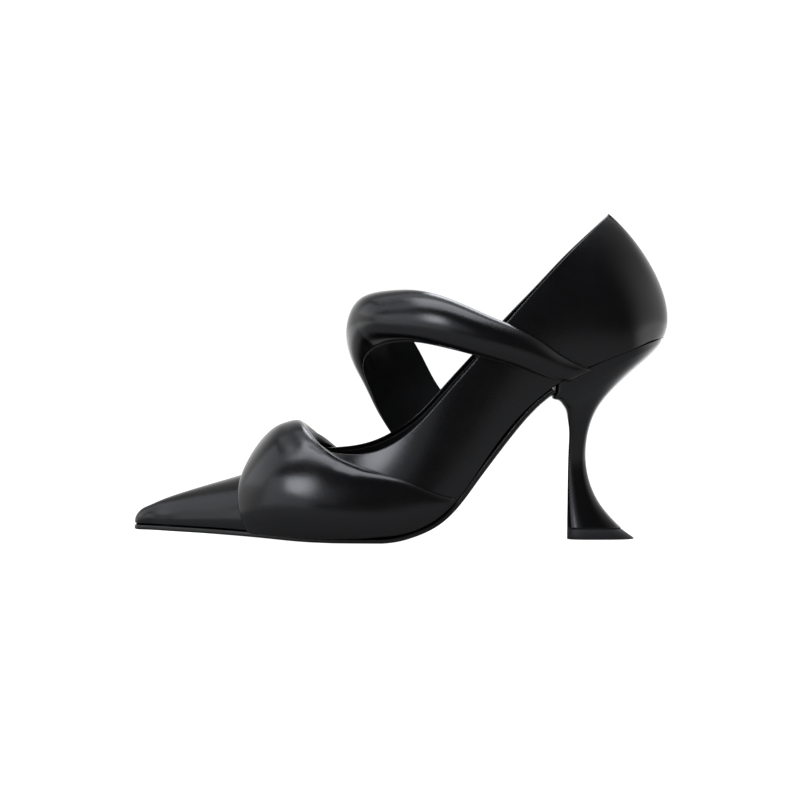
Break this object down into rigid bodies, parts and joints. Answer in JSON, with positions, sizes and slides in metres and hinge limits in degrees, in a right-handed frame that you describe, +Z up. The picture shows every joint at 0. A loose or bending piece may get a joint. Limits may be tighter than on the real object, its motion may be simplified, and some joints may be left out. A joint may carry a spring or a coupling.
{
  "type": "high heel shoe",
  "caption": "Left pointed high heel pump in black leather, with a padded band over the vamp, a padded instep strap and a flared sculpted heel.",
  "frame": {"origin": "on the floor, below the middle of the shoe's outline box", "axes": "+X towards the heel, -X towards the toe, -Y the outer side, +Z up"},
  "size_m": [0.2457, 0.0795, 0.1489],
  "materials": {
    "leather": "smooth semi-gloss black leather",
    "padded_leather": "soft smooth black leather over padding",
    "lining": "matte black lining leather",
    "sole": "burnished black sole leather",
    "heel_leather": "smooth black leather cover, stretched over the heel",
    "hard_tip": "matte black hard plastic"
  },
  "bodies": {
    "root": {"upper": "leather", "vamp_band": "padded_leather", "instep_strap": "padded_leather", "insole": "lining", "outsole": "sole", "heel": "heel_leather", "top_piece": "hard_tip"}
  },
  "joints": []
}
